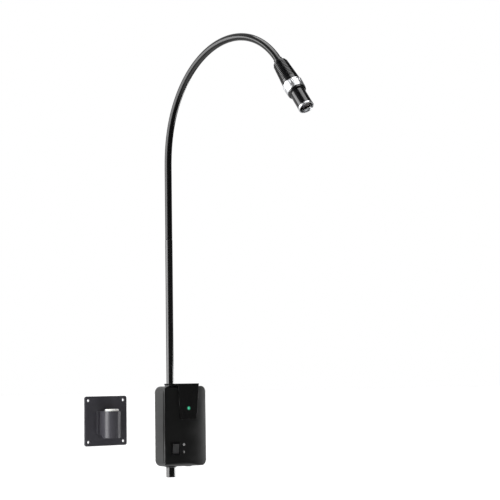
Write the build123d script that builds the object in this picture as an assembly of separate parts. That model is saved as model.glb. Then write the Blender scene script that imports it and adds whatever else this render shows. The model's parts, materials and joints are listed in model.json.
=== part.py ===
"""Gooseneck examination light on a control box, with the wall bracket that its spigot drops into.

Millimetres, +Z up. The origin is the middle of the spigot's lower end, on the axis that the spigot, the
rigid tube and the foot of the gooseneck share. The control box faces -Y, and +X is to the right of its face.
"""

import math
import os

from build123d import *

# Control box
CASE_LEFT = -22.3
CASE_RIGHT = 65.1
CASE_DEPTH = 34.6
CASE_BOTTOM = 18.5
CASE_TOP = 156.5
CASE_WALL = 2.2
CASE_CORNER = 11.0
CROWN_START = 16.0  # right of this the face curves away
CROWN_DROP = 8.3  # how far back the face has curved at its right edge
FACE_EDGE = 2.0
BACK_EDGE = 3.0
TOP_FRONT_ROUND = 6.0
BOTTOM_FRONT_ROUND = 8.0
SEAM_Y = 5.0
SEAM_GAP = 0.1
POST_GAP = 0.15  # round the tube and the spigot where they enter the box
SCREW_X = (-15.8, 58.6)
SCREW_Z = (30.0, 145.0)
BOSS_R = 4.2
SCREW_R = 1.5
SCREW_HEAD_R = 2.8
SCREW_HEAD_THICK = 1.8
SCREW_HEAD_DEEP = 2.2  # from the back of the box to the seat under the head
SCREW_GAP = 0.2
SCREW_REACH = 8.0  # of the thread past the seam
PILOT_DEEP = 12.0
RECESS_W, RECESS_SLOT, RECESS_FLOOR = 3.2, 0.7, 0.8

# Sensor panel and its visor
PANEL_TOP_X = (4.9, 46.7)
PANEL_LOW_X = (9.5, 41.5)
PANEL_LOW_Z = 99.5
PANEL_TOP_Z = 161.0
PANEL_PROUD = 1.8
PANEL_ROUND = 1.5
VISOR_THICK = 2.4
VISOR_DEEP = 7.5
VISOR_START = 1.6  # from the box's left side to the visor's end
VISOR_SLANT = 6.0
VISOR_RIB = 2.0
LENS_X, LENS_Z = 26.3, 118.3
LENS_R = 3.4
LENS_LONG = 6.0
LENS_DOME = 9.6
LENS_INSET = 0.6
SENSOR_BOARD = (22.0, 28.0)
SENSOR_BEHIND = 6.4  # from the box's face to the sensor board
SENSOR_R, SENSOR_TALL = 2.4, 1.3
BOARD_THICK = 1.6

# Bush for the supply cord, in the bottom of the box
GLAND_AT = (40.0, 10.4)
GLAND_R = 4.4
GLAND_HEAD_R = 6.0
GLAND_BORE = 3.3
GLAND_HIGH = 7.0
GLAND_HEAD_THICK = 1.75

# Rocker switch
SWITCH_X, SWITCH_Z = 0.2, 49.5
BEZEL_W, BEZEL_H, BEZEL_PROUD = 16.5, 23.0, 1.6
BEZEL_LIP = 1.6  # how far the rim laps over the face, each side
BEZEL_REACH = 4.0  # of its neck behind the wall
BEZEL_CORNER = 2.0
ROCKER_W, ROCKER_H = 11.4, 16.5
ROCKER_GAP = (0.3, 0.7)  # beside the rocker, and past its ends
ROCKER_PROUD, ROCKER_DISH, ROCKER_BEHIND = 1.6, 1.2, 3.4
ROCKER_ARC_GAP = 0.35
ROCKER_TILT = 8.0  # it rests pressed in at its lower half, and swings twice this to its other side
ROCKER_Y = -CASE_DEPTH / 2 + 1.6  # its pivot
SWITCH_W, SWITCH_H, SWITCH_DEEP = 12.0, 18.0, 8.0
TAG_W, TAG_H, TAG_LONG, TAG_APART = 0.8, 4.8, 3.0, 10.0

# Boards behind the face
MAIN_BOARD_X, MAIN_BOARD_Z = (20.0, 50.0), (62.0, 112.0)
MAIN_BOARD_Y = 2.0
SUPPLY_X, SUPPLY_Y, SUPPLY_Z = (19.0, 55.0), (-7.0, 9.0), (36.0, 57.0)
SUPPLY_LABEL_EDGE = 4.0

# Spigot, spine and rigid tube
SPIGOT_R = 8.0
SPIGOT_HIGH = 36.0
SPIGOT_SHOULDER = 16.0  # above this it is a thinner shank
SPIGOT_SHANK_R = 7.5
SPIGOT_CHAMFER = 0.8
SPINE_W = 23.0
SPINE_FRONT, SPINE_BACK = -10.0, 12.5
SPINE_LOW, SPINE_TOP = 21.5, 153.5
SPINE_GRUB_INSET = 12.0  # from each end of the spine to its grub screw
SPINE_BOLT_Z = (68.0, 108.0)
SPINE_BOLT_REACH = 6.0
SPINE_WAY_R = 4.0  # the way for the leads between spigot and tube
PRESS_GAP = 0.02
GRUB_R, GRUB_HEX, GRUB_HEX_DEEP = 2.0, 1.0, 2.0
SWITCH_POCKET = (37.0, 62.5)
SWITCH_POCKET_BACK = 4.6
LOW_COLLAR_R, LOW_COLLAR_HIGH = 9.7, 1.7
TOP_COLLAR_R, TOP_COLLAR_HIGH = 9.4, 2.8
TUBE_R, TUBE_BORE = 6.45, 4.6
TUBE_FOOT = 118.0
TUBE_TOP = 413.0

# Gooseneck
NECK_R = 6.2
NECK_BORE = 3.2
NECK_YAW = 10.6  # the bend is turned this far from the box's front, towards +X
NECK_STRAIGHT = 130.3
NECK_LENGTH = 561.0
NECK_TURN = 144.4
NECK_POWER = 1.206
NECK_STEM = 22.0  # how deep the gooseneck's foot sits in the tube
FIRST_JOINT = 80.0
LINK = 31.0
JOINTS = 16
BALL_R = 5.0
BALL_GAP = 0.3
CUP_RIM = 0.5
NECK_SETBACK = 2.9  # lets neighbouring links tip 20 degrees

# Lamp head, measured along its axis from the gooseneck's last joint
HEAD_FERRULE = (12.4, 22.4)
FERRULE_R = 7.4
STEM_R, STEM_TOP = 4.5, 32.0
SINK_LOW, SINK_TOP = 21.4, 68.6
SINK_BAND = 8.0  # smooth, in front of the fins
FIN_COUNT = 12
FIN_PITCH = 3.26
FIN_THICK = 1.75
FIN_DEEP = 1.6
FIRST_FIN_STEP = 1.0
LEAD_WAY_R = 3.0
SINK_R_REAR, SINK_R_FRONT = 12.3, 14.9
RING_LOW, RING_TOP = 69.0, 86.0
RING_R_REAR, RING_R_FRONT = 16.6, 16.0
RING_BORE = 13.2
FLUTES = 24
RING_EDGE = 0.7
FLUTE_R, FLUTE_OUT, FLUTE_END = 1.7, 1.25, 2.5
GUIDE_R, GUIDE_BORE, GUIDE_TOP = 10.6, 9.4, 98.0
GUIDE_FOOT_R, GUIDE_FOOT = 12.6, 1.6
STAR_R, STAR_SCREW_X = 9.3, 7.6
STAR_SCREW_R = 1.0
CHIP, CHIP_TALL, DOME_R = 5.0, 0.9, 2.0
REFLECTOR_TOP, REFLECTOR_RIM, REFLECTOR_MOUTH = 96.0, 4.0, 9.3
BARREL_LOW, BARREL_FLANGE, BARREL_TOP = 75.0, 86.4, 120.0
BARREL_THREAD_R, BARREL_FLANGE_R, BARREL_R, BARREL_BORE = 12.9, 15.3, 12.6, 10.9
LENS_SEAT_R, LENS_SEAT_LOW = 11.6, 112.0
GLASS_THICK, GLASS_CURVE = 7.6, 20.0
SEAL_LOW, SEAL_THICK, SEAL_BORE = 4.4, 1.1, 11.0  # measured up from the lens seat
FRONT_RING_LOW, FRONT_RING_BORE = 6.2, 10.2
FRONT_RING_TOP = 123.0

# Wall bracket, where it lies beside the lamp
BRACKET_X = -112.2
BRACKET_MOUTH = 116.2
BRACKET_YAW = 7.2
PLATE = 84.0
PLATE_THICK = 3.0
PLATE_CORNER = 4.0
PLATE_TOP_OVER_MOUTH = 25.4
PLATE_STANDOFF = 18.5  # from the socket's axis to the plate's face
HOLE_SPACING = 70.0
HOLE_R = 2.5
SOCKET_R = 15.0
SOCKET_DEEP = 45.0
SOCKET_FLOOR = 3.0
SOCKET_FOOT, SOCKET_FOOT_DEEP = 4.0, 4.0  # the step where it meets the plate
SOCKET_SLOPE, SOCKET_SLOPE_START = 9.0, 4.0
DRAIN_R = 3.0
LOCK_SCREW_DOWN = 14.0
LOCK_SCREW_R, LOCK_SCREW_HEX, LOCK_SCREW_INSET = 2.0, 1.1, 0.4
LINER_R = 10.5
LINER_LIP = 1.2
LINER_BORE = 8.1
LINER_PROUD = 3.5

OUT = "parts"
UP = (Align.CENTER, Align.CENTER, Align.MIN)


def rod(radius, low, high, bore=0.0):
    """A cylinder about Z from one height to another, with a bore if one is given."""
    body = Pos(0, 0, low) * Cylinder(radius, high - low, align=UP)
    if bore:
        body -= Pos(0, 0, low - 1) * Cylinder(bore, high - low + 2, align=UP)
    return body


def turned(*points):
    """A body of revolution about Z from the (radius, height) corners of its section."""
    section = make_face(Polyline(*[(r, 0, z) for r, z in points], close=True))
    return revolve(section, Axis.Z)


def block(x, y, z):
    """A box from its low and high values along each axis."""
    centre = [(a + b) / 2 for a, b in (x, y, z)]
    return Pos(*centre) * Box(*[b - a for a, b in (x, y, z)])


def along_y(shape, x, z, y=0.0):
    """A shape made about +Z, laid to point along +Y from the given place."""
    return Pos(x, y, z) * Rot(-90, 0, 0) * shape


# ---------------------------------------------------------------- control box


def case_form(inset):
    """The box's outer form, shrunk all round by an inset: three outlines that meet in one solid."""
    left, right = CASE_LEFT + inset, CASE_RIGHT - inset
    low, top = CASE_BOTTOM + inset, CASE_TOP - inset
    front, back = -CASE_DEPTH / 2 + inset, CASE_DEPTH / 2 - inset
    middle = Pos((left + right) / 2, 0, (low + top) / 2)
    face = Plane.XZ * RectangleRounded(right - left, top - low, CASE_CORNER - inset)
    seen_from_front = Pos(0, back, 0) * middle * extrude(face, back - front)
    back_edges = seen_from_front.edges().group_by(Axis.Y)[-1]
    seen_from_front = fillet(back_edges, BACK_EDGE - inset)

    edge = FACE_EDGE
    crown = ThreePointArc(
        (CROWN_START, front),
        ((CROWN_START + right) / 2, front + CROWN_DROP / 4),
        (right, front + CROWN_DROP),
    )
    outline = [
        Line((left + edge, front), (CROWN_START, front)),
        crown,
        Line((right, front + CROWN_DROP), (right, back)),
        Line((right, back), (left, back)),
        Line((left, back), (left, front + edge)),
        RadiusArc((left, front + edge), (left + edge, front), edge),
    ]
    seen_from_top = Pos(0, 0, low) * extrude(make_face(outline), top - low)

    over, under = TOP_FRONT_ROUND, BOTTOM_FRONT_ROUND
    side = [
        Line((0, front, low + under), (0, front, top - over)),
        ThreePointArc(
            (0, front, top - over),
            (0, front + over * (1 - math.sqrt(0.5)), top - over * (1 - math.sqrt(0.5))),
            (0, front + over, top),
        ),
        Line((0, front + over, top), (0, back, top)),
        Line((0, back, top), (0, back, low)),
        Line((0, back, low), (0, front + under, low)),
        ThreePointArc(
            (0, front + under, low),
            (0, front + under * (1 - math.sqrt(0.5)), low + under * (1 - math.sqrt(0.5))),
            (0, front, low + under),
        ),
    ]
    seen_from_side = Pos(left, 0, 0) * extrude(make_face(side), right - left, dir=(1, 0, 0))
    return seen_from_front & seen_from_top & seen_from_side


def case_screw_places():
    return [(x, z) for x in SCREW_X for z in SCREW_Z]


def post_holes():
    """What the tube and the spigot take out of the box's top and bottom."""
    above = rod(TUBE_R + POST_GAP, CASE_TOP - 10, CASE_TOP + 1)
    below = rod(SPIGOT_SHANK_R + POST_GAP, CASE_BOTTOM - 1, CASE_BOTTOM + 10)
    return above + below


def front_shell(outer, inner):
    front = -CASE_DEPTH / 2
    keep = block((CASE_LEFT - 5, CASE_RIGHT + 5), (front - 5, SEAM_Y), (CASE_BOTTOM - 5, CASE_TOP + 5))
    shell = (outer - inner) & keep
    for x, z in case_screw_places():
        pillar = along_y(rod(BOSS_R, 0, SEAM_Y - front - CASE_WALL / 2), x, z, front + CASE_WALL / 2)
        shell += pillar & outer
        shell -= along_y(rod(SCREW_R, 0, PILOT_DEEP + 1), x, z, SEAM_Y - PILOT_DEEP)
    half_w, half_h = BEZEL_W / 2 - BEZEL_LIP + 0.1, BEZEL_H / 2 - BEZEL_LIP + 0.1
    shell -= block(
        (SWITCH_X - half_w, SWITCH_X + half_w),
        (front - 1, front + CASE_WALL + 1),
        (SWITCH_Z - half_h, SWITCH_Z + half_h),
    )
    return shell - post_holes() - along_y(rod(LENS_R + SCREW_GAP, 0, 12), LENS_X, LENS_Z, front - 1)


def rear_shell(outer, inner):
    back = CASE_DEPTH / 2
    seam = SEAM_Y + SEAM_GAP
    keep = block((CASE_LEFT - 5, CASE_RIGHT + 5), (seam, back + 5), (CASE_BOTTOM - 5, CASE_TOP + 5))
    shell = (outer - inner) & keep
    bosses = [(x, z, seam) for x, z in case_screw_places()]
    bosses += [(0, z, SPINE_BACK + 0.05) for z in SPINE_BOLT_Z]
    for x, z, start in bosses:
        shell += along_y(rod(BOSS_R, start, back - CASE_WALL / 2), x, z)
        shell -= along_y(rod(SCREW_R + SCREW_GAP, seam - 1, back), x, z)
        shell -= along_y(rod(SCREW_HEAD_R + SCREW_GAP, back - SCREW_HEAD_DEEP - SCREW_GAP, back + 1), x, z)
    return shell - post_holes() - Pos(*GLAND_AT, 0) * rod(GLAND_R + 0.1, CASE_BOTTOM - 1, CASE_BOTTOM + 9)


def case_screw(tip):
    """A cross-recessed screw along Z, from its tip to its head in the back of the box."""
    head = CASE_DEPTH / 2 - SCREW_HEAD_DEEP
    screw = rod(SCREW_R - 0.05, tip, head) + rod(SCREW_HEAD_R, head, head + SCREW_HEAD_THICK)
    for turn in (0, 90):
        slot = Box(RECESS_W, RECESS_SLOT, SCREW_HEAD_DEEP, align=UP)
        screw -= Pos(0, 0, head + RECESS_FLOOR) * Rot(0, 0, turn) * slot
    return screw


def case_screws():
    """Four screws that pull the rear shell onto the front shell's pillars."""
    screw = case_screw(SEAM_Y - SCREW_REACH)
    return Compound(children=[along_y(screw, x, z) for x, z in case_screw_places()])


def sensor_panel(outer):
    """The flat dark panel on the face, which carries on up and sideways as a thin visor over the tube."""
    front = -CASE_DEPTH / 2
    corners = [
        (PANEL_TOP_X[0], PANEL_TOP_Z),
        (PANEL_TOP_X[1], PANEL_TOP_Z),
        (PANEL_LOW_X[1], PANEL_LOW_Z),
        (PANEL_LOW_X[0], PANEL_LOW_Z),
    ]
    face = make_face(Polyline(*[(x, z) for x, z in corners], close=True))
    face = fillet(face.vertices().sort_by(Axis.Y)[:2], PANEL_ROUND)
    slab = Pos(0, front - PANEL_PROUD, 0) * extrude(Plane.XZ * face, -(VISOR_DEEP + PANEL_PROUD))
    under = PANEL_TOP_Z - VISOR_THICK
    left, right, rear = CASE_LEFT + VISOR_START, PANEL_TOP_X[0] + 1, front + VISOR_DEEP
    plan = Polyline((left, front), (right, front), (right, rear), (left + VISOR_SLANT, rear), close=True)
    visor = Pos(0, 0, under) * extrude(make_face(plan), VISOR_THICK)
    rib = block((left + 2 * VISOR_SLANT, right), (rear - VISOR_RIB, rear), (CASE_TOP, under + 1))
    panel = (slab + visor + rib) - outer
    return panel - along_y(rod(LENS_R, 0, 20), LENS_X, LENS_Z, front - 5)


def sensor_lens():
    """The little window that the light's touch-free switch looks through."""
    front = -CASE_DEPTH / 2
    bead = rod(LENS_R - 0.05, 0, LENS_LONG) & (Pos(0, 0, LENS_DOME - LENS_INSET) * Sphere(LENS_DOME))
    return along_y(bead, LENS_X, LENS_Z, front - PANEL_PROUD + LENS_INSET)


def sensor_board():
    y = -CASE_DEPTH / 2 + SENSOR_BEHIND
    half_w, half_h = SENSOR_BOARD[0] / 2, SENSOR_BOARD[1] / 2
    board = Pos(LENS_X, 0, LENS_Z) * block((-half_w, half_w), (y, y + BOARD_THICK), (-half_h, half_h))
    return board + along_y(rod(SENSOR_R, 0, SENSOR_TALL), LENS_X, LENS_Z, y - SENSOR_TALL)


def switch_bezel():
    front = -CASE_DEPTH / 2
    reach = CASE_WALL + BEZEL_REACH
    rim = Plane.XZ * RectangleRounded(BEZEL_W, BEZEL_H, BEZEL_CORNER)
    rim = Pos(SWITCH_X, front, SWITCH_Z) * extrude(rim, BEZEL_PROUD)
    neck = Plane.XZ * Rectangle(BEZEL_W - 2 * BEZEL_LIP, BEZEL_H - 2 * BEZEL_LIP)
    neck = Pos(SWITCH_X, front + reach, SWITCH_Z) * extrude(neck, reach)
    half_w, half_h = ROCKER_W / 2 + ROCKER_GAP[0], ROCKER_H / 2 + ROCKER_GAP[1]
    well = block(
        (SWITCH_X - half_w, SWITCH_X + half_w),
        (front - 2 * BEZEL_PROUD, front + 2 * reach),
        (SWITCH_Z - half_h, SWITCH_Z + half_h),
    )
    return rim + neck - well


def rocker():
    """The rocker, pressed in at its lower half. It pivots on a line just behind the face."""
    half = ROCKER_H / 2
    section = [
        Line((-half, -ROCKER_PROUD), (-half, ROCKER_BEHIND)),
        Line((-half, ROCKER_BEHIND), (half, ROCKER_BEHIND)),
        Line((half, ROCKER_BEHIND), (half, -ROCKER_PROUD)),
        ThreePointArc((half, -ROCKER_PROUD), (0, -ROCKER_DISH), (-half, -ROCKER_PROUD)),
    ]
    key = extrude(Plane.YZ * Rot(0, 0, 90) * make_face(section), ROCKER_W / 2, both=True)
    key &= Rot(0, 90, 0) * Cylinder(half + ROCKER_ARC_GAP, ROCKER_W)
    return Pos(SWITCH_X, ROCKER_Y, SWITCH_Z) * Rot(ROCKER_TILT, 0, 0) * key


def switch_body():
    near = -CASE_DEPTH / 2 + CASE_WALL + BEZEL_REACH + SCREW_GAP
    far = near + SWITCH_DEEP
    half_w, half_h = SWITCH_W / 2, SWITCH_H / 2
    body = block((SWITCH_X - half_w, SWITCH_X + half_w), (near, far), (SWITCH_Z - half_h, SWITCH_Z + half_h))
    tag = block((-TAG_W / 2, TAG_W / 2), (far - 1, far + TAG_LONG), (-TAG_H / 2, TAG_H / 2))
    for side in (-1, 1):
        body += Pos(SWITCH_X, 0, SWITCH_Z + side * TAG_APART / 2) * tag
    return body


def main_board():
    """The control board beside the spine, with its chips and the sockets that the leads plug into."""
    y = MAIN_BOARD_Y
    board = block(MAIN_BOARD_X, (y, y + BOARD_THICK), MAIN_BOARD_Z)
    corner = Pos(MAIN_BOARD_X[0], y, MAIN_BOARD_Z[0])
    board += corner * Pos(8, -0.8, 8) * Box(9, 1.6, 9)  # controller
    board += corner * Pos(22, -2.5, 12) * Box(6, 5, 12)  # socket for the lamp's leads
    board += corner * Pos(10, -3, 34) * Box(12, 6, 5)  # socket for the supply
    board += corner * Pos(23, -1.5, 38) * Box(5, 3, 5)  # inductor
    return board


def led_driver():
    """The potted constant-current supply at the bottom of the box."""
    edge = SUPPLY_LABEL_EDGE
    body = block(SUPPLY_X, SUPPLY_Y, SUPPLY_Z)
    lid = block(
        (SUPPLY_X[0] + edge, SUPPLY_X[1] - edge),
        (SUPPLY_Y[1] - 1, SUPPLY_Y[1] + 1),
        (SUPPLY_Z[0] + edge, SUPPLY_Z[1] - edge),
    )
    return body + lid


def cord_gland():
    """The bush in the bottom that the supply cord would pass through."""
    z = CASE_BOTTOM
    bush = rod(GLAND_R, z - 1, z - 1 + GLAND_HIGH) + rod(GLAND_HEAD_R, z - 0.05 - GLAND_HEAD_THICK, z - 0.05)
    return Pos(*GLAND_AT, 0) * (bush - rod(GLAND_BORE, z - GLAND_HIGH, z + GLAND_HIGH))


def spine():
    """The bar inside the box that ties the spigot, the box and the tube together."""
    bar = block((-SPINE_W / 2, SPINE_W / 2), (SPINE_FRONT, SPINE_BACK), (SPINE_LOW, SPINE_TOP))
    bar -= rod(SPIGOT_SHANK_R + PRESS_GAP, SPINE_LOW - 1, SPIGOT_HIGH)
    bar -= rod(TUBE_R + PRESS_GAP, TUBE_FOOT, SPINE_TOP + 1)
    bar -= rod(SPINE_WAY_R, SPIGOT_HIGH - 1, TUBE_FOOT + 1)
    bar -= block((-SPINE_W, SPINE_W), (SPINE_FRONT - 1, SWITCH_POCKET_BACK), SWITCH_POCKET)
    for z, _ in spine_grubs():
        bar -= Pos(0, 0, z) * Rot(0, 90, 0) * Cylinder(GRUB_R, SPINE_W, align=UP)
    for z in SPINE_BOLT_Z:
        bar -= along_y(rod(SCREW_R, SPINE_BACK - SPINE_BOLT_REACH - 1, SPINE_BACK + 1), 0, z)
    return bar


def spine_grubs():
    """Each grub screw's height, and the radius of the post that it bears on."""
    return [(SPINE_LOW + SPINE_GRUB_INSET, SPIGOT_SHANK_R), (SPINE_TOP - SPINE_GRUB_INSET, TUBE_R)]


def spine_screws():
    """Two grub screws through the spine, one against the spigot and one against the tube."""
    screws = []
    for z, radius in spine_grubs():
        grub = rod(GRUB_R - 0.05, radius + 0.05, SPINE_W / 2)
        grub -= rod(GRUB_HEX, SPINE_W / 2 - GRUB_HEX_DEEP, SPINE_W / 2 + 1)
        screws.append(Pos(0, 0, z) * Rot(0, 90, 0) * grub)
    return Compound(children=screws)


def spine_bolts():
    """The two screws that hold the spine to the rear shell."""
    bolt = case_screw(SPINE_BACK - SPINE_BOLT_REACH)
    return Compound(children=[along_y(bolt, 0, z) for z in SPINE_BOLT_Z])


def spigot():
    """The pin that drops into the bracket, with the shank that the spine holds."""
    edge = SPIGOT_CHAMFER
    high = SPIGOT_SHOULDER
    pin = turned((0, 0), (SPIGOT_R - edge, 0), (SPIGOT_R, edge), (SPIGOT_R, high), (0, high))
    return pin + rod(SPIGOT_SHANK_R, SPIGOT_SHOULDER - 1, SPIGOT_HIGH - SCREW_GAP)


def bottom_collar():
    low, top = CASE_BOTTOM - LOW_COLLAR_HIGH, CASE_BOTTOM
    hole, out, edge = SPIGOT_SHANK_R + 0.05, LOW_COLLAR_R, LOW_COLLAR_HIGH / 2
    return turned((hole, low), (out - edge, low), (out, low + edge), (out, top), (hole, top))


def top_collar():
    low, top = CASE_TOP, CASE_TOP + TOP_COLLAR_HIGH
    hole, out, edge = TUBE_R + 0.05, TOP_COLLAR_R, TOP_COLLAR_HIGH / 2
    return turned((hole, low), (out, low), (out, top - edge), (out - edge, top), (hole, top))


def rigid_tube():
    return rod(TUBE_R, TUBE_FOOT, TUBE_TOP, TUBE_BORE)


# ---------------------------------------------------------------- gooseneck


def heading(s):
    """The gooseneck's lean from upright, in degrees, at a distance along it."""
    share = max(0.0, s - NECK_STRAIGHT) / (NECK_LENGTH - NECK_STRAIGHT)
    return NECK_TURN * min(share, 1.0) ** NECK_POWER


def neck_kinks():
    """How far each joint is bent as the lamp stands, in degrees."""
    places = [FIRST_JOINT + LINK * i for i in range(JOINTS)]
    return [heading(s + LINK / 2) - heading(s - LINK / 2) for s in places]


FORWARD = Vector(math.sin(math.radians(NECK_YAW)), -math.cos(math.radians(NECK_YAW)), 0)
BEND_AXIS = Vector(0, 0, 1).cross(FORWARD)


def neck_planes():
    """One plane for each joint, at its centre, with Z along the link above it and X along its hinge line."""
    planes = []
    lean = 0.0
    at = Vector(0, 0, TUBE_TOP + FIRST_JOINT)
    for kink in neck_kinks():
        lean += math.radians(kink)
        way = FORWARD * math.sin(lean) + Vector(0, 0, math.cos(lean))
        planes.append(Plane(origin=at, x_dir=BEND_AXIS, z_dir=way))
        at = at + way * LINK
    return planes


def cup(body):
    """Hollows a link's lower end for the ball of the link below."""
    return body - Sphere(BALL_R + BALL_GAP)


def ball_end(body, length):
    """Adds the ball at a link's upper end, and the bore that the lead runs through."""
    body += Pos(0, 0, length) * Sphere(BALL_R)
    return body - rod(NECK_BORE, -1, length + 2 * BALL_R)


def neck_base():
    """The straight foot of the gooseneck, with the stem that turns in the rigid tube."""
    foot = TUBE_TOP + 0.3
    body = rod(NECK_R, foot, TUBE_TOP + FIRST_JOINT - NECK_SETBACK)
    body += rod(TUBE_BORE - 0.05, TUBE_TOP - NECK_STEM, foot + 1)
    body += Pos(0, 0, TUBE_TOP + FIRST_JOINT) * Sphere(BALL_R)
    return body - rod(NECK_BORE, TUBE_TOP - NECK_STEM - 1, TUBE_TOP + FIRST_JOINT + 2 * BALL_R)


def neck_link():
    return ball_end(cup(rod(NECK_R, CUP_RIM, LINK - NECK_SETBACK)), LINK)


# ---------------------------------------------------------------- lamp head


def head_stem():
    """The gooseneck's last piece, which screws into the heat sink."""
    stem = cup(rod(NECK_R, CUP_RIM, HEAD_FERRULE[0])) + rod(STEM_R, HEAD_FERRULE[0] - 1, STEM_TOP)
    return stem - rod(NECK_BORE, -1, STEM_TOP + 1)


def head_ferrule():
    low, top = HEAD_FERRULE[0] + 0.05, HEAD_FERRULE[1] - 1.05
    hole, edge = STEM_R + 0.05, FERRULE_R - NECK_R
    return turned((hole, low), (NECK_R, low), (FERRULE_R, low + edge), (FERRULE_R, top), (hole, top))


def heat_sink():
    """The ribbed rear of the head: a stepped shoulder, then fins that grow slightly towards the front."""
    band, edge, hole = SINK_TOP - SINK_BAND, 0.6, STEM_R + 0.05
    low = band - FIN_COUNT * FIN_PITCH
    outline = [(hole, low)]
    for i in range(FIN_COUNT):
        radius = SINK_R_REAR + (SINK_R_FRONT - SINK_R_REAR) * i / FIN_COUNT
        if i == 0:
            radius -= FIRST_FIN_STEP
        outline += [(radius, low), (radius, low + FIN_THICK)]
        outline += [(radius - FIN_DEEP, low + FIN_THICK), (radius - FIN_DEEP, low + FIN_PITCH)]
        low += FIN_PITCH
    outline += [(SINK_R_FRONT, band), (SINK_R_FRONT, SINK_TOP - edge), (SINK_R_FRONT - edge, SINK_TOP)]
    outline += [(LEAD_WAY_R, SINK_TOP), (LEAD_WAY_R, STEM_TOP + SCREW_GAP), (hole, STEM_TOP + SCREW_GAP)]
    return turned(*outline) - screw_holes(SINK_TOP - 6, SINK_TOP + 1, STAR_SCREW_R)


def screw_holes(low, high, radius):
    return [Pos(x, 0, low) * Cylinder(radius, high - low, align=UP) for x in (-STAR_SCREW_X, STAR_SCREW_X)]


def guide_tube():
    """The fixed sleeve that the front barrel slides on, with a flange against the heat sink."""
    low = SINK_TOP + PRESS_GAP
    flange = rod(GUIDE_FOOT_R, low, SINK_TOP + GUIDE_FOOT, GUIDE_BORE)
    return rod(GUIDE_R, low, GUIDE_TOP, GUIDE_BORE) + flange


def led_board():
    star = rod(STAR_R, SINK_TOP + PRESS_GAP, SINK_TOP + BOARD_THICK)
    return star - screw_holes(SINK_TOP - 1, SINK_TOP + 3, STAR_SCREW_R + 0.1)


def board_screws():
    low = SINK_TOP + BOARD_THICK + 0.05
    screw = rod(STAR_SCREW_R - 0.05, SINK_TOP - 5, low + 0.2) + rod(1.6 * STAR_SCREW_R, low, low + 1.2)
    screw -= Pos(0, 0, low + 0.7) * Box(2.4, 0.5, 1.0, align=UP)
    return Compound(children=[Pos(x, 0, 0) * screw for x in (-STAR_SCREW_X, STAR_SCREW_X)])


def led_emitter():
    low = SINK_TOP + BOARD_THICK + PRESS_GAP
    chip = Pos(0, 0, low) * Box(CHIP, CHIP, CHIP_TALL, align=UP)
    dome = Pos(0, 0, low + CHIP_TALL - 0.1) * Sphere(DOME_R)
    return chip + (dome & rod(1.5 * DOME_R, low + CHIP_TALL / 2, low + 2 * DOME_R))


def reflector():
    """The bright cone round the light source."""
    low, top, wall = SINK_TOP + BOARD_THICK + 1.5, REFLECTOR_TOP, 0.7
    mouth, rim = REFLECTOR_MOUTH, REFLECTOR_TOP - REFLECTOR_RIM
    outside = [(4.4, low), (5.4, low), (mouth, rim), (mouth, top)]
    return turned(*outside, (mouth - wall, top), (mouth - wall, rim))


def focus_ring():
    """The fluted ring that is turned to move the lens in or out."""
    ring = turned(
        (RING_BORE, RING_LOW),
        (RING_R_REAR - RING_EDGE, RING_LOW),
        (RING_R_REAR, RING_LOW + RING_EDGE),
        (RING_R_FRONT, RING_TOP - RING_EDGE),
        (RING_R_FRONT - RING_EDGE, RING_TOP),
        (RING_BORE, RING_TOP),
    )
    middle = (RING_LOW + RING_TOP) / 2
    flute = Pos(RING_R_REAR + FLUTE_OUT, 0, middle) * Cylinder(FLUTE_R, RING_TOP - RING_LOW - 2 * FLUTE_END)
    for i in range(FLUTES):
        ring -= Rot(0, 0, 360 * i / FLUTES) * flute
    return ring


def front_barrel():
    return turned(
        (BARREL_BORE, BARREL_LOW),
        (BARREL_THREAD_R, BARREL_LOW),
        (BARREL_THREAD_R, BARREL_FLANGE),
        (BARREL_FLANGE_R, BARREL_FLANGE),
        (BARREL_FLANGE_R, BARREL_FLANGE + 2.0),
        (BARREL_FLANGE_R - 0.9, BARREL_FLANGE + 2.9),
        (BARREL_R, BARREL_FLANGE + 3.4),
        (BARREL_R, BARREL_TOP),
        (LENS_SEAT_R, BARREL_TOP),
        (LENS_SEAT_R, LENS_SEAT_LOW),
        (BARREL_BORE, LENS_SEAT_LOW),
    )


def lens():
    """A plano-convex glass, its flat side to the light source."""
    low = LENS_SEAT_LOW + PRESS_GAP
    blank = rod(LENS_SEAT_R - 0.05, low, low + GLASS_THICK)
    return blank & (Pos(0, 0, low + GLASS_THICK - GLASS_CURVE) * Sphere(GLASS_CURVE))


def lens_seal():
    low = LENS_SEAT_LOW + SEAL_LOW
    return rod(LENS_SEAT_R - 0.1, low, low + SEAL_THICK, SEAL_BORE) - lens()


def lens_bezel():
    """The bright ring screwed into the barrel's front, over the lens."""
    low, seat, out = LENS_SEAT_LOW + FRONT_RING_LOW, BARREL_TOP + 0.05, BARREL_R + 0.3
    ring = turned(
        (FRONT_RING_BORE, low),
        (LENS_SEAT_R - 0.1, low),
        (LENS_SEAT_R - 0.1, seat),
        (out, seat),
        (out, FRONT_RING_TOP - 0.6),
        (out - 0.6, FRONT_RING_TOP),
        (FRONT_RING_BORE + 1.2, FRONT_RING_TOP),
        (FRONT_RING_BORE, BARREL_TOP - 0.2),
    )
    return ring - lens()


# ---------------------------------------------------------------- wall bracket


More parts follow.
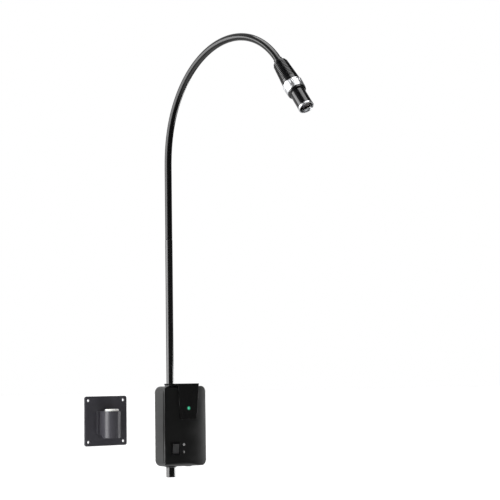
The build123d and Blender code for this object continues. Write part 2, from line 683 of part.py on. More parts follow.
def wall_bracket():
    """The plate and its half-round socket, in one piece, sloping back to the plate at its foot."""
    top = PLATE_TOP_OVER_MOUTH
    face = Plane.XZ * RectangleRounded(PLATE, PLATE, PLATE_CORNER)
    plate = Pos(0, PLATE_STANDOFF + PLATE_THICK, top - PLATE / 2) * extrude(face, PLATE_THICK)
    for x in (-HOLE_SPACING / 2, HOLE_SPACING / 2):
        for z in (-HOLE_SPACING / 2, HOLE_SPACING / 2):
            plate -= along_y(rod(HOLE_R, -1, PLATE_THICK + 1), x, top - PLATE / 2 + z, PLATE_STANDOFF)
    plan = Circle(SOCKET_R) + Pos(0, PLATE_STANDOFF / 2) * Rectangle(2 * SOCKET_R, PLATE_STANDOFF)
    foot = Rectangle(2 * (SOCKET_R + SOCKET_FOOT), SOCKET_FOOT_DEEP)
    plan += Pos(0, PLATE_STANDOFF - SOCKET_FOOT_DEEP / 2) * foot
    socket = Pos(0, 0, -SOCKET_DEEP) * extrude(plan, SOCKET_DEEP)
    slope = make_face(
        Polyline(
            (0, PLATE_STANDOFF, -SOCKET_DEEP - 1),
            (0, PLATE_STANDOFF, -SOCKET_DEEP + SOCKET_SLOPE),
            (0, SOCKET_SLOPE_START, -SOCKET_DEEP),
            (0, SOCKET_SLOPE_START, -SOCKET_DEEP - 1),
            close=True,
        )
    )
    socket -= extrude(slope, 2 * SOCKET_R, both=True, dir=(1, 0, 0))
    socket -= rod(LINER_R + PRESS_GAP, -SOCKET_DEEP + SOCKET_FLOOR, 1)
    socket -= rod(DRAIN_R, -SOCKET_DEEP - 1, -SOCKET_DEEP + SOCKET_FLOOR + 1)
    return plate + socket - lock_screw_hole()


def lock_screw_hole():
    return Pos(0, 0, -LOCK_SCREW_DOWN) * Rot(0, 90, 0) * Cylinder(LOCK_SCREW_R + 0.1, 2 * SOCKET_R, align=UP)


def socket_liner():
    """The white plastic bush that the spigot turns in, with its lip standing above the socket."""
    low, lip = -SOCKET_DEEP + SOCKET_FLOOR + PRESS_GAP, LINER_R + LINER_LIP
    bush = turned(
        (LINER_BORE, low),
        (LINER_R, low),
        (LINER_R, PRESS_GAP),
        (lip, PRESS_GAP),
        (lip, LINER_PROUD - 0.6),
        (lip - 0.6, LINER_PROUD),
        (LINER_BORE + 1.0, LINER_PROUD),
        (LINER_BORE, LINER_PROUD - 1.0),
    )
    return bush - lock_screw_hole()


def socket_screw():
    """The screw in the socket's side that locks the spigot."""
    grub = rod(LOCK_SCREW_R, LINER_BORE + LOCK_SCREW_INSET, SOCKET_R - LOCK_SCREW_INSET)
    grub -= rod(LOCK_SCREW_HEX, SOCKET_R - 3, SOCKET_R + 1)
    return Pos(0, 0, -LOCK_SCREW_DOWN) * Rot(0, 90, 0) * grub


def build():
    outer, inner = case_form(0.0), case_form(CASE_WALL)
    pieces = {
        "front_shell": front_shell(outer, inner),
        "rear_shell": rear_shell(outer, inner),
        "case_screws": case_screws(),
        "sensor_panel": sensor_panel(outer),
        "sensor_lens": sensor_lens(),
        "sensor_board": sensor_board(),
        "switch_bezel": switch_bezel(),
        "rocker": rocker(),
        "switch_body": switch_body(),
        "main_board": main_board(),
        "led_driver": led_driver(),
        "cord_gland": cord_gland(),
        "spine": spine(),
        "spine_screws": spine_screws(),
        "spine_bolts": spine_bolts(),
        "spigot": spigot(),
        "bottom_collar": bottom_collar(),
        "top_collar": top_collar(),
        "rigid_tube": rigid_tube(),
        "neck_base": neck_base(),
    }
    planes = neck_planes()
    link = neck_link()
    for i, plane in enumerate(planes[:-1], 1):
        pieces[f"neck_link_{i:02d}"] = plane.location * link
    head = {
        "head_stem": head_stem(),
        "head_ferrule": head_ferrule(),
        "heat_sink": heat_sink(),
        "guide_tube": guide_tube(),
        "led_board": led_board(),
        "board_screws": board_screws(),
        "led_emitter": led_emitter(),
        "reflector": reflector(),
        "focus_ring": focus_ring(),
        "front_barrel": front_barrel(),
        "lens": lens(),
        "lens_seal": lens_seal(),
        "lens_bezel": lens_bezel(),
    }
    for name, piece in head.items():
        pieces[name] = planes[-1].location * piece
    bracket = {
        "wall_bracket": wall_bracket(),
        "socket_liner": socket_liner(),
        "socket_screw": socket_screw(),
    }
    for name, piece in bracket.items():
        pieces[name] = Pos(BRACKET_X, 0, BRACKET_MOUTH) * Rot(0, 0, BRACKET_YAW) * piece
    return pieces


os.makedirs(OUT, exist_ok=True)
for name, piece in build().items():
    export_step(piece, os.path.join(OUT, name + ".step"))
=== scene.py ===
"""Looks of the gooseneck examination light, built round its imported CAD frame. Metres, +Z up."""

import json
import math

import bmesh
import bpy
from mathutils import Matrix, Vector


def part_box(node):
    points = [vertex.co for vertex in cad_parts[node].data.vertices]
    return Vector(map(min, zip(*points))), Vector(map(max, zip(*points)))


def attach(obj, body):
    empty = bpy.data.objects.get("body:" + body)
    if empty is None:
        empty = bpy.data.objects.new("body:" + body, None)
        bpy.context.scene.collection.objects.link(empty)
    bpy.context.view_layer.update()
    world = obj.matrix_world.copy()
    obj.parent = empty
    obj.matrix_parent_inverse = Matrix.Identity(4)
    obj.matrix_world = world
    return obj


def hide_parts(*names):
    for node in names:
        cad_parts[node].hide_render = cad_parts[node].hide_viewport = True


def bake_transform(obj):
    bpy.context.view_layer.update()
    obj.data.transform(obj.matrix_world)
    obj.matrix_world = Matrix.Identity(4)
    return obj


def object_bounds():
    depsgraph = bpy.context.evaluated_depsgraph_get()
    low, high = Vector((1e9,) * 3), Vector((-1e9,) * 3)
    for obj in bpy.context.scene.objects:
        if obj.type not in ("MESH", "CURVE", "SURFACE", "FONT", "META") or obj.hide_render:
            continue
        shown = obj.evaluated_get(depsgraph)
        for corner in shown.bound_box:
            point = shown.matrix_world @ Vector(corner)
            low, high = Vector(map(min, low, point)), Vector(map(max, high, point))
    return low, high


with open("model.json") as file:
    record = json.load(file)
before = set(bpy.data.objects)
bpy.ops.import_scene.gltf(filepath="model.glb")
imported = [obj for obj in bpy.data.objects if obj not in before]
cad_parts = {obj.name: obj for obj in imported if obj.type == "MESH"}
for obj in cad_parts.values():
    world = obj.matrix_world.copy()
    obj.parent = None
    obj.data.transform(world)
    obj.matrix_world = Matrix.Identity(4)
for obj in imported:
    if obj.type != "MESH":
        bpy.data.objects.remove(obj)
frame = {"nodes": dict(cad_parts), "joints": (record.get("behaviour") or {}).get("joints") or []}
cad_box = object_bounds()

MM = 0.001
UP = Vector((0, 0, 1))
JOINTS = {joint["name"]: joint for joint in frame["joints"]}


def joint_point(name):
    return Vector(JOINTS[name]["pos_m"])


def joint_axis(name):
    return Vector(JOINTS[name]["axis"])


# ---------------------------------------------------------------- material maker


class Look:
    """One procedural material: a Principled shader and the nodes that feed it."""

    def __init__(self, name, colour, roughness, **sockets):
        self.material = bpy.data.materials.new(name)
        self.material.use_nodes = True
        self.tree = self.material.node_tree
        self.shader = self.tree.nodes["Principled BSDF"]
        self.set(Base_Color=(*colour, 1), Roughness=roughness, **sockets)
        self.place = self.add("ShaderNodeTexCoord").outputs["Object"]
        self.normal = None

    def set(self, **sockets):
        for name, value in sockets.items():
            self.shader.inputs[name.replace("_", " ")].default_value = value

    def add(self, kind, **settings):
        node = self.tree.nodes.new(kind)
        for name, value in settings.items():
            setattr(node, name, value)
        return node

    def join(self, source, target):
        self.tree.links.new(source, target)

    def feed(self, node, **inputs):
        """Sets or links a node's inputs by name."""
        for name, value in inputs.items():
            socket = node.inputs[name.replace("_", " ")]
            if isinstance(value, bpy.types.NodeSocket):
                self.join(value, socket)
            else:
                socket.default_value = value
        return node

    def about(self, origin, axis):
        """Measures this material's places from a point, with Z along an axis."""
        turn = Vector(axis).to_track_quat("Z", "Y").to_matrix().transposed()
        shift = turn @ -Vector(origin)
        mapping = self.add("ShaderNodeMapping", vector_type="POINT")
        self.feed(mapping, Vector=self.place, Location=shift, Rotation=turn.to_euler())
        self.place = mapping.outputs[0]
        return self

    def stretched(self, x, y, z):
        node = self.add("ShaderNodeVectorMath", operation="MULTIPLY")
        self.join(self.place, node.inputs[0])
        node.inputs[1].default_value = (x, y, z)
        return node.outputs[0]

    def noise(self, scale, detail=3.0, place=None):
        node = self.add("ShaderNodeTexNoise")
        return self.feed(node, Vector=place or self.place, Scale=scale, Detail=detail).outputs[0]

    def cells(self, scale, place=None, feature="F1", output=0):
        node = self.add("ShaderNodeTexVoronoi", feature=feature)
        return self.feed(node, Vector=place or self.place, Scale=scale).outputs[output]

    def spread(self, value, low, high, to_low=0.0, to_high=1.0):
        node = self.add("ShaderNodeMapRange")
        self.feed(node, Value=value, From_Min=low, From_Max=high, To_Min=to_low, To_Max=to_high)
        return node.outputs[0]

    def sum(self, first, second, operation="ADD"):
        node = self.add("ShaderNodeMath", operation=operation)
        for socket, value in zip(node.inputs, (first, second)):
            if isinstance(value, bpy.types.NodeSocket):
                self.join(value, socket)
            else:
                socket.default_value = value
        return node.outputs[0]

    def blend(self, amount, first, second):
        """A colour that goes from the first to the second as the amount goes from 0 to 1."""
        node = self.add("ShaderNodeMix", data_type="RGBA")
        self.join(amount, node.inputs["Factor"])
        for socket, value in ((node.inputs[6], first), (node.inputs[7], second)):
            if isinstance(value, bpy.types.NodeSocket):
                self.join(value, socket)
            else:
                socket.default_value = (*value, 1)
        return node.outputs[2]

    def colour(self, source):
        self.join(source, self.shader.inputs["Base Color"])

    def rough(self, source):
        self.join(source, self.shader.inputs["Roughness"])

    def soften(self, radius):
        """Rounds the shading of sharp edges, as a real moulded or turned edge is rounded."""
        node = self.feed(self.add("ShaderNodeBevel", samples=4), Radius=radius)
        self.normal = node.outputs[0]
        self.join(self.normal, self.shader.inputs["Normal"])
        return self

    def edges(self, radius):
        """1 on sharp edges and 0 on flat ground."""
        rounded = self.feed(self.add("ShaderNodeBevel", samples=4), Radius=radius).outputs[0]
        dot = self.add("ShaderNodeVectorMath", operation="DOT_PRODUCT")
        self.join(rounded, dot.inputs[0])
        self.join(self.add("ShaderNodeNewGeometry").outputs["Normal"], dot.inputs[1])
        return self.spread(dot.outputs["Value"], 0.995, 0.8)

    def bump(self, height, depth):
        """Raises the surface by a height map, depth metres deep, over the bumps already there."""
        node = self.feed(self.add("ShaderNodeBump"), Height=height, Distance=depth, Strength=1.0)
        if self.normal:
            self.join(self.normal, node.inputs["Normal"])
        self.normal = node.outputs[0]
        self.join(self.normal, self.shader.inputs["Normal"])
        return self

    def specks(self, scale, share):
        """1 on small scattered specks, 0 elsewhere."""
        return self.spread(self.cells(scale), share, share * 0.6)


def dress(material, *names):
    """Gives CAD nodes a material."""
    for name in names:
        mesh = frame["nodes"][name].data
        mesh.materials.clear()
        mesh.materials.append(material)
        mesh.polygons.foreach_set("material_index", [0] * len(mesh.polygons))


# ---------------------------------------------------------------- materials

HEAD_POINT = joint_point("focus_turn")
HEAD_AXIS = joint_axis("focus_turn")


def moulded_gloss(name, shade, painted_edge_highlight, roughness, coat):
    """Glossy black moulded plastic: faint smears, fine dust, a very slight unevenness, and a painted
    highlight that makes its edges lighter.
    """
    look = Look(name, (shade,) * 3, roughness, Coat_Weight=coat, Coat_Roughness=0.05)
    smear = look.noise(28.0, 4.0, look.stretched(1.0, 1.0, 2.6))
    fine = look.noise(900.0, 2.0)
    look.rough(look.sum(look.spread(smear, 0.3, 0.7, roughness * 0.8, roughness * 1.25),
                        look.spread(fine, 0.3, 0.7, -0.02, 0.02)))
    dust = look.sum(look.specks(2600.0, 0.10), look.spread(smear, 0.45, 0.7), "MULTIPLY")
    # painted highlight: the colour is lighter on sharp edges, standing in for the light rims the edges catch
    edge_tone = look.blend(look.edges(0.5 * MM), (shade,) * 3, (painted_edge_highlight,) * 3)
    look.colour(look.blend(dust, edge_tone, (0.09, 0.09, 0.085)))
    look.soften(0.45 * MM)
    look.bump(look.noise(320.0, 2.0), 0.006 * MM)
    return look.material


def fine_matt(name, colour, roughness, grain=2600.0, depth=0.02 * MM):
    """Plastic or rubber with a fine spark-eroded grain."""
    look = Look(name, colour, roughness)
    grit = look.noise(grain, 3.0)
    look.rough(look.spread(grit, 0.3, 0.7, roughness - 0.07, roughness + 0.08))
    lighter = tuple(min(1.0, c * 1.7 + 0.004) for c in colour)
    patch = look.spread(look.noise(120.0, 4.0), 0.35, 0.7, 0.0, 0.6)
    look.colour(look.blend(look.sum(patch, look.edges(0.3 * MM), "MAXIMUM"), colour, lighter))
    look.soften(0.25 * MM)
    look.bump(grit, depth)
    return look.material


def lacquer(name, shade, roughness, depth, specular, coat):
    """Black lacquer or a drawn sheath: long faint draw lines, slight orange peel and a few rubs."""
    look = Look(name, (shade,) * 3, roughness, Coat_Weight=coat, Coat_Roughness=0.08)
    look.set(Specular_IOR_Level=specular)
    peel = look.noise(260.0, 2.0)
    draw = look.noise(260.0, 3.0, look.stretched(6.0, 6.0, 0.12))
    rub = look.spread(look.noise(45.0, 5.0), 0.52, 0.75)
    look.rough(look.sum(look.spread(draw, 0.3, 0.7, roughness - 0.03, roughness + 0.04),
                        look.spread(rub, 0.0, 1.0, 0.0, 0.07)))
    look.colour(look.blend(look.sum(rub, 0.35, "MULTIPLY"), (shade,) * 3, (shade * 3,) * 3))
    look.soften(0.3 * MM)
    look.bump(peel, depth)
    return look.material


def turned_metal(name, colour, roughness, metallic, line_depth, bright=1.25, **sockets):
    """Metal turned on a lathe: fine lines round the head's axis, brighter worn edges."""
    look = Look(name, colour, roughness, Metallic=metallic, **sockets).about(HEAD_POINT, HEAD_AXIS)
    lines = look.noise(1.0, 2.0, look.stretched(20.0, 20.0, 1800.0))
    broad = look.noise(60.0, 4.0)
    look.rough(look.sum(look.spread(lines, 0.3, 0.7, roughness * 0.85, roughness * 1.2),
                        look.spread(broad, 0.3, 0.7, -0.03, 0.04)))
    edge_tone = tuple(min(1.0, c * bright) for c in colour)
    rubbed = look.sum(look.edges(0.25 * MM), look.spread(broad, 0.5, 0.8, 0.0, 0.4), "MAXIMUM")
    look.colour(look.blend(rubbed, colour, edge_tone))
    if not metallic:
        look.soften(0.2 * MM)
    look.bump(lines, line_depth)
    return look.material


def zinc_steel():
    look = Look("screw_steel", (0.5, 0.5, 0.5), 0.32, Metallic=1.0)
    spangle = look.cells(1400.0, output=1)
    tint = look.spread(look.noise(300.0, 3.0), 0.35, 0.7)
    look.colour(look.blend(tint, (0.42, 0.43, 0.45), (0.62, 0.60, 0.55)))
    look.rough(look.spread(look.noise(800.0, 3.0), 0.3, 0.7, 0.24, 0.42))
    look.soften(0.12 * MM)
    look.bump(spangle, 0.002 * MM)
    return look.material


def milled_alloy():
    look = Look("spine_alloy", (0.6, 0.6, 0.62), 0.3, Metallic=1.0)
    cutter = look.noise(1.0, 2.0, look.stretched(60.0, 60.0, 2600.0))
    look.rough(look.spread(cutter, 0.3, 0.7, 0.24, 0.42))
    look.colour(look.blend(look.noise(90.0, 4.0), (0.55, 0.55, 0.57), (0.72, 0.72, 0.73)))
    look.soften(0.3 * MM)
    look.bump(cutter, 0.01 * MM)
    return look.material


def powder_coat():
    look = Look("bracket_coat", (0.045, 0.043, 0.052), 0.36)
    peel = look.noise(1300.0, 3.0)
    cloud = look.noise(30.0, 4.0)
    clouded = look.spread(cloud, 0.3, 0.7, -0.03, 0.03)
    look.rough(look.sum(look.spread(peel, 0.3, 0.7, 0.30, 0.42), clouded))
    ground = look.blend(look.spread(cloud, 0.3, 0.7), (0.040, 0.039, 0.047), (0.052, 0.050, 0.059))
    fleck = look.blend(look.specks(3800.0, 0.16), ground, (0.10, 0.10, 0.11))
    look.colour(look.blend(look.sum(look.edges(0.5 * MM), 0.6, "MULTIPLY"), fleck, (0.12, 0.12, 0.13)))
    look.soften(0.6 * MM)
    look.bump(peel, 0.03 * MM)
    return look.material


def circuit_board():
    """Green solder mask over copper tracks, with tinned pads."""
    look = Look("circuit_board", (0.02, 0.14, 0.06), 0.3, Coat_Weight=0.4, Coat_Roughness=0.1)
    tracks = look.spread(look.cells(420.0, feature="DISTANCE_TO_EDGE"), 0.03, 0.05)
    mask = look.blend(tracks, (0.03, 0.22, 0.09), (0.012, 0.10, 0.045))
    pads = look.specks(700.0, 0.22)
    look.colour(look.blend(pads, mask, (0.55, 0.54, 0.50)))
    look.rough(look.spread(look.noise(700.0), 0.3, 0.7, 0.24, 0.4))
    look.bump(tracks, -0.03 * MM)
    return look.material


def phosphor():
    look = Look("led_phosphor", (0.9, 0.72, 0.12), 0.3, Subsurface_Weight=0.3, Coat_Weight=1.0)
    look.set(Subsurface_Radius=(1 * MM, 0.8 * MM, 0.2 * MM), Coat_Roughness=0.03)
    grain = look.noise(5200.0, 3.0)
    look.colour(look.blend(grain, (0.82, 0.60, 0.08), (0.98, 0.86, 0.30)))
    look.rough(look.spread(grain, 0.3, 0.7, 0.22, 0.4))
    return look.material


def optical_glass():
    look = Look("lens_glass", (0.98, 1.0, 0.99), 0.0, Transmission_Weight=1.0, IOR=1.52)
    look.set(Thin_Film_Thickness=120.0, Thin_Film_IOR=1.38)
    look.rough(look.spread(look.noise(900.0, 4.0), 0.55, 0.8, 0.0, 0.03))
    return look.material


def lit_window():
    """A small smoked green window, lit faintly from behind."""
    low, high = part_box("sensor_lens")
    middle = (low + high) / 2
    look = Look("window_green", (0.02, 0.32, 0.16), 0.12, Coat_Weight=1.0, Coat_Roughness=0.03)
    look.about(middle, (0, -1, 0))
    reach = look.add("ShaderNodeVectorMath", operation="LENGTH")
    flat = look.stretched(1.0, 1.0, 0.0)
    look.join(flat, reach.inputs[0])
    glow_core = look.spread(reach.outputs["Value"], 0.4 * MM, 3.3 * MM, 1.0, 0.0)
    # painted glow: the base colour, like the emission, is lighter in the middle where the window is lit from
    # behind
    look.colour(look.blend(glow_core, (0.01, 0.16, 0.09), (0.10, 0.75, 0.42)))
    glow = look.blend(glow_core, (0.0, 0.03, 0.015), (0.05, 0.42, 0.22))
    look.join(glow, look.shader.inputs["Emission Color"])
    look.set(Emission_Strength=0.55)
    look.bump(look.noise(1500.0), 0.01 * MM)
    return look.material


def nylon_white():
    look = Look("liner_white", (0.82, 0.82, 0.80), 0.38, Subsurface_Weight=0.25)
    look.set(Subsurface_Radius=(1.2 * MM, 1.1 * MM, 0.9 * MM))
    grain = look.noise(1100.0, 3.0)
    look.rough(look.spread(grain, 0.3, 0.7, 0.3, 0.46))
    patch = look.spread(look.noise(150.0, 4.0), 0.4, 0.7)
    look.colour(look.blend(patch, (0.84, 0.84, 0.82), (0.74, 0.74, 0.70)))
    look.soften(0.25 * MM)
    look.bump(grain, 0.01 * MM)
    return look.material


def star_board():
    look = Look("led_star", (0.82, 0.82, 0.80), 0.35)
    pads = look.specks(900.0, 0.25)
    look.colour(look.blend(pads, (0.82, 0.82, 0.80), (0.55, 0.50, 0.35)))
    look.rough(look.spread(look.noise(600.0), 0.3, 0.7, 0.28, 0.44))
    return look.material


SHEATH = lacquer("neck_sheath", 0.002, 0.14, 0.001 * MM, 0.32, 0.15)
BLACK_PLASTIC = fine_matt("black_plastic", (0.002, 0.002, 0.0025), 0.26)

# the second grey given to each moulded gloss is the painted highlight on its edges
dress(moulded_gloss("case_gloss", 0.004, 0.02, 0.36, 0.20), "front_shell", "rear_shell")
dress(moulded_gloss("panel_gloss", 0.003, 0.06, 0.20, 0.4), "sensor_panel")
dress(lit_window(), "sensor_lens")
dress(BLACK_PLASTIC, "switch_bezel", "switch_body", "bottom_collar", "top_collar")
dress(fine_matt("rocker_plastic", (0.03, 0.03, 0.031), 0.38), "rocker")
dress(
    fine_matt("gland_rubber", (0.012, 0.012, 0.012), 0.7, grain=1500.0, depth=0.04 * MM),
    "cord_gland", "lens_seal",
)
dress(
    fine_matt("potting", (0.02, 0.02, 0.024), 0.4, grain=500.0, depth=0.03 * MM),
    "led_driver",
)
dress(circuit_board(), "sensor_board", "main_board")
dress(milled_alloy(), "spine")
dress(zinc_steel(), "case_screws", "spine_bolts", "spine_screws", "board_screws", "socket_screw")
dress(lacquer("post_black", 0.003, 0.15, 0.001 * MM, 0.5, 0.35), "spigot", "rigid_tube")
dress(
    turned_metal("head_black", (0.002, 0.002, 0.0025), 0.18, 0.0, 0.001 * MM, bright=3.0),
    "head_ferrule", "heat_sink",
)
dress(
    turned_metal("barrel_black", (0.0015, 0.0015, 0.002), 0.13, 0.0, 0.0005 * MM, bright=3.0),
    "front_barrel", "guide_tube",
)
dress(turned_metal("chrome", (0.72, 0.73, 0.75), 0.30, 1.0, 0.001 * MM), "focus_ring", "lens_bezel")
dress(turned_metal("reflector_mirror", (0.9, 0.9, 0.9), 0.05, 1.0, 0.001 * MM), "reflector")
dress(optical_glass(), "lens")
dress(phosphor(), "led_emitter")
dress(star_board(), "led_board")
dress(powder_coat(), "wall_bracket")
dress(nylon_white(), "socket_liner")


# ---------------------------------------------------------------- gooseneck sheath

SHEATH_R = 6.2 * MM
SHEATH_SIDES = 64
SHEATH_LIP = [(0.3, 1.2), (0.45, 0.35), (0.75, 0.08), (1.2, 0.0)]  # mm up, and mm in from the radius
FOOT_STEP = 2.0 * MM
SHORTEST_STEP = 0.1 * MM
FERRULE_REACH = 12.4 * MM  # from the last joint to the ferrule
SWEEP_STEPS = 24
BEND_AXIS = joint_axis("lower_bend_1")
BENDS = [name for name in JOINTS if "_bend_" in name] + ["head_aim"]


def place_mesh(name, mesh):
    piece = bpy.data.objects.new(name, mesh)
    bpy.context.scene.collection.objects.link(piece)
    return piece


def new_piece(name, verts, faces, material, smooth=True):
    mesh = bpy.data.meshes.new(name)
    mesh.from_pydata(verts, [], faces)
    mesh.materials.append(material)
    mesh.polygons.foreach_set("use_smooth", [smooth] * len(mesh.polygons))
    return place_mesh(name, mesh)


def sheath_tube(name, centres, ways, radii):
    """An open tube through the centres. Each ring starts on the same side of the bend's plane."""
    verts = []
    for centre, way, radius in zip(centres, ways, radii):
        other = way.cross(BEND_AXIS).normalized()
        for i in range(SHEATH_SIDES):
            turn = 2 * math.pi * i / SHEATH_SIDES
            verts.append(centre + radius * (BEND_AXIS * math.cos(turn) + other * math.sin(turn)))
    faces = []
    for ring in range(len(centres) - 1):
        for i in range(SHEATH_SIDES):
            a = ring * SHEATH_SIDES + i
            b = ring * SHEATH_SIDES + (i + 1) % SHEATH_SIDES
            faces.append((a, b, b + SHEATH_SIDES, a + SHEATH_SIDES))
    return new_piece(name, verts, faces, SHEATH)


def build_sheath():
    """A smooth sleeve over the gooseneck: one straight foot, and one bent piece over each joint."""
    points = [joint_point(name) for name in BENDS]
    half = (points[1] - points[0]).length / 2
    starts = [points[0] - UP * half] + [(a + b) / 2 for a, b in zip(points, points[1:])]
    ends = starts[1:] + [points[-1] + HEAD_AXIS * FERRULE_REACH]
    for i, name in enumerate(BENDS):
        start, knee, end = starts[i], points[i], ends[i]
        centres, ways = [], []
        for step in range(SWEEP_STEPS + 1):
            t = step / SWEEP_STEPS
            centres.append(start * (1 - t) ** 2 + knee * 2 * t * (1 - t) + end * t ** 2)
            ways.append(((knee - start) * (1 - t) + (end - knee) * t).normalized())
        piece = sheath_tube(f"sheath_{i + 1:02d}", centres, ways, [SHEATH_R] * len(centres))
        joint = JOINTS[name]
        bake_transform(piece)
        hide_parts("head_stem" if name == "head_aim" else joint["child"])
    foot = joint_point("neck_swing")
    heights = [foot.z + up * MM for up, _ in SHEATH_LIP]
    radii = [SHEATH_R - inward * MM for _, inward in SHEATH_LIP]
    while heights[-1] < starts[0].z - SHORTEST_STEP:
        heights.append(min(heights[-1] + FOOT_STEP, starts[0].z))
        radii.append(SHEATH_R)
    centres = [Vector((foot.x, foot.y, z)) for z in heights]
    piece = sheath_tube("sheath_foot", centres, [UP] * len(centres), radii)
    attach(piece, "neck_base")
    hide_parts("neck_base")


build_sheath()


# ---------------------------------------------------------------- marks beside the switch

MARK_GAP = 8.3 * MM  # from the bezel's right edge to the middle of the marks
MARK_HIGH = 3.8 * MM
MARK_STROKE = 0.8 * MM
MARK_THICK = 0.04 * MM
MARK_APART = 6.4 * MM  # from the switch's middle, up or down
RING_COUNT = 40


def outline_piece(name, outer, inner, middle, material):
    """A flat printed mark on the box's face, from one outline or the band between two."""
    loops = [outer, inner] if inner else [outer]
    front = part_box("front_shell")[0].y
    bm = bmesh.new()
    rings = []
    for depth in (front + MARK_THICK, front - MARK_THICK):
        rings.append([
            [bm.verts.new((middle.x + x, depth, middle.z + z)) for x, z in loop]
            for loop in loops
        ])
    count = len(outer)
    for i in range(count):
        j = (i + 1) % count
        for k in range(len(loops)):
            back, face = rings[0][k], rings[1][k]
            bm.faces.new((back[i], back[j], face[j], face[i]))
        if inner:
            a, b = rings[1]
            bm.faces.new((a[i], a[j], b[j], b[i]))
    if not inner:
        bm.faces.new(rings[1][0])
    bmesh.ops.recalc_face_normals(bm, faces=bm.faces)
    mesh = bpy.data.meshes.new(name)
    bm.to_mesh(mesh)
    bm.free()
    mesh.materials.append(material)
    piece = place_mesh(name, mesh)
    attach(piece, "control_box")


def ring_points(radius):
    turns = [2 * math.pi * i / RING_COUNT for i in range(RING_COUNT)]
    return [(radius * math.cos(t), radius * math.sin(t)) for t in turns]


def build_marks():
    ink = fine_matt("print_grey", (0.55, 0.55, 0.55), 0.55, grain=3000.0, depth=0.005 * MM)
    low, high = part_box("switch_bezel")
    middle = (low + high) / 2
    x = high.x + MARK_GAP
    half, stroke = MARK_HIGH / 2, MARK_STROKE
    bar = [(-stroke / 2, -half), (stroke / 2, -half), (stroke / 2, half), (-stroke / 2, half)]
    below, above = (Vector((x, 0, middle.z + way * MARK_APART)) for way in (-1, 1))
    outline_piece("mark_on", bar, None, below, ink)
    outline_piece("mark_off", ring_points(half), ring_points(half - stroke), above, ink)


build_marks()


# ---------------------------------------------------------------- stage, light and camera

FLOOR_DROP = 150 * MM  # below the spigot's end
FLOOR_SIZE = 60.0


def build_floor():
    look = Look("floor_white", (0.93, 0.93, 0.93), 0.6)
    look.colour(look.blend(look.noise(2.0, 4.0), (0.92, 0.92, 0.92), (0.95, 0.95, 0.95)))
    look.set(Emission_Color=(1, 1, 1, 1), Emission_Strength=0.25)
    low = cad_box[0].z - FLOOR_DROP
    half = FLOOR_SIZE / 2
    corners = [(-half, -half, low), (half, -half, low), (half, half, low), (-half, half, low)]
    floor = new_piece("floor", corners, [(0, 1, 2, 3)], look.material, smooth=False)
    floor.visible_glossy = False


def azimuth_way(azimuth):
    """The level way from the object towards an azimuth. 0 is in front of the box's face, 90 to its right."""
    turn = math.radians(azimuth)
    return Vector((math.sin(turn), -math.cos(turn), 0))


def soft_box(name, azimuth, width, height, radiance, middle):
    data = bpy.data.lights.new(name, "AREA")
    data.shape = "RECTANGLE"
    data.size, data.size_y = width, height
    data.energy = radiance * math.pi * width * height
    light = bpy.data.objects.new(name, data)
    way = azimuth_way(azimuth)
    light.location = UP * middle + way * LIGHT_DISTANCE
    light.rotation_mode = "QUATERNION"
    light.rotation_quaternion = way.to_track_quat("Z", "Y")
    light.visible_camera = False
    bpy.context.scene.collection.objects.link(light)


LIGHT_DISTANCE = 1.8
SUN_STRENGTH = 2.4
SUN_ANGLE = math.radians(50)


def build_lights():
    """A tall box to the left, a low strip to the right of the control box, and a wide soft light above."""
    soft_box("left_box", -102.0, width=2.1, height=1.7, radiance=5.5, middle=0.55)
    soft_box("right_box", 90.0, width=1.4, height=0.35, radiance=8.0, middle=0.03)
    sun = bpy.data.lights.new("top_light", "SUN")
    sun.energy = SUN_STRENGTH
    sun.angle = SUN_ANGLE
    light = bpy.data.objects.new("top_light", sun)
    bpy.context.scene.collection.objects.link(light)


BRIGHT_AZIMUTH = -165.0  # the middle of the bright wall behind the object
FRONT_STRENGTH, BACK_STRENGTH, BELOW_STRENGTH = 0.08, 0.70, 1.6


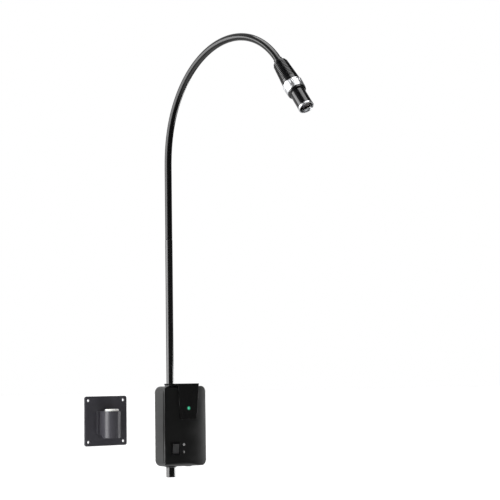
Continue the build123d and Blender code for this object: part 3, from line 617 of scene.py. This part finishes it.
def build_world():
    """White to the eye. For light and reflections: bright behind and below, and dim in front."""
    world = bpy.data.worlds.new("studio")
    bpy.context.scene.world = world
    world.use_nodes = True
    tree = world.node_tree
    tree.nodes.clear()
    join = tree.links.new

    def add(kind, **inputs):
        node = tree.nodes.new(kind)
        for name, value in inputs.items():
            node.inputs[name.replace("_", " ")].default_value = value
        return node

    def math_node(kind, operation, first, second):
        node = add(kind)
        node.operation = operation
        join(first, node.inputs[0])
        if isinstance(second, bpy.types.NodeSocket):
            join(second, node.inputs[1])
        else:
            node.inputs[1].default_value = second
        return node

    direction = add("ShaderNodeTexCoord").outputs["Generated"]
    dot = math_node("ShaderNodeVectorMath", "DOT_PRODUCT", direction, azimuth_way(BRIGHT_AZIMUTH))
    behind = add("ShaderNodeMapRange", From_Max=0.9, To_Min=FRONT_STRENGTH, To_Max=BACK_STRENGTH)
    behind.interpolation_type = "SMOOTHSTEP"
    join(dot.outputs["Value"], behind.inputs["Value"])
    height = add("ShaderNodeSeparateXYZ")
    join(direction, height.inputs[0])
    below = add("ShaderNodeMapRange", From_Min=-0.6, From_Max=-0.95, To_Max=BELOW_STRENGTH)
    join(height.outputs["Z"], below.inputs["Value"])
    brighter = math_node("ShaderNodeMath", "MAXIMUM", behind.outputs[0], below.outputs[0])

    white = (1, 1, 1, 1)
    lit = add("ShaderNodeBackground", Color=white)
    join(brighter.outputs[0], lit.inputs["Strength"])
    seen = add("ShaderNodeBackground", Color=white)
    mix = add("ShaderNodeMixShader")
    join(add("ShaderNodeLightPath").outputs["Is Camera Ray"], mix.inputs[0])
    join(lit.outputs[0], mix.inputs[1])
    join(seen.outputs[0], mix.inputs[2])
    join(mix.outputs[0], add("ShaderNodeOutputWorld").inputs[0])


CAMERA_AZIMUTH = -31.4
CAMERA_PITCH = math.radians(5.383)
CAMERA_ROLL = math.radians(-0.8551)
CAMERA_DISTANCE = 2.415
CAMERA_SIDE = 0.14258
CAMERA_HEIGHT = 0.16529
FRAME_SIDE = 500  # pixels along the square picture
FOCAL_PIXELS = 1380
SENSOR = 36.0


def build_camera():
    out = azimuth_way(CAMERA_AZIMUTH)
    across = UP.cross(out).normalized()
    data = bpy.data.cameras.new("camera")
    data.sensor_width = SENSOR
    data.lens = SENSOR * FOCAL_PIXELS / FRAME_SIDE
    camera = bpy.data.objects.new("camera", data)
    way = -out * math.cos(CAMERA_PITCH) + UP * math.sin(CAMERA_PITCH)
    over = across.cross(way)
    right = across * math.cos(CAMERA_ROLL) + over * math.sin(CAMERA_ROLL)
    top = over * math.cos(CAMERA_ROLL) - across * math.sin(CAMERA_ROLL)
    place = out * CAMERA_DISTANCE + across * CAMERA_SIDE + UP * CAMERA_HEIGHT
    turn = Matrix((right, top, -way)).transposed().to_4x4()
    camera.matrix_world = Matrix.Translation(place) @ turn
    bpy.context.scene.collection.objects.link(camera)
    bpy.context.scene.camera = camera


build_floor()
build_lights()
build_world()
build_camera()
bpy.context.scene.view_settings.view_transform = "Standard"
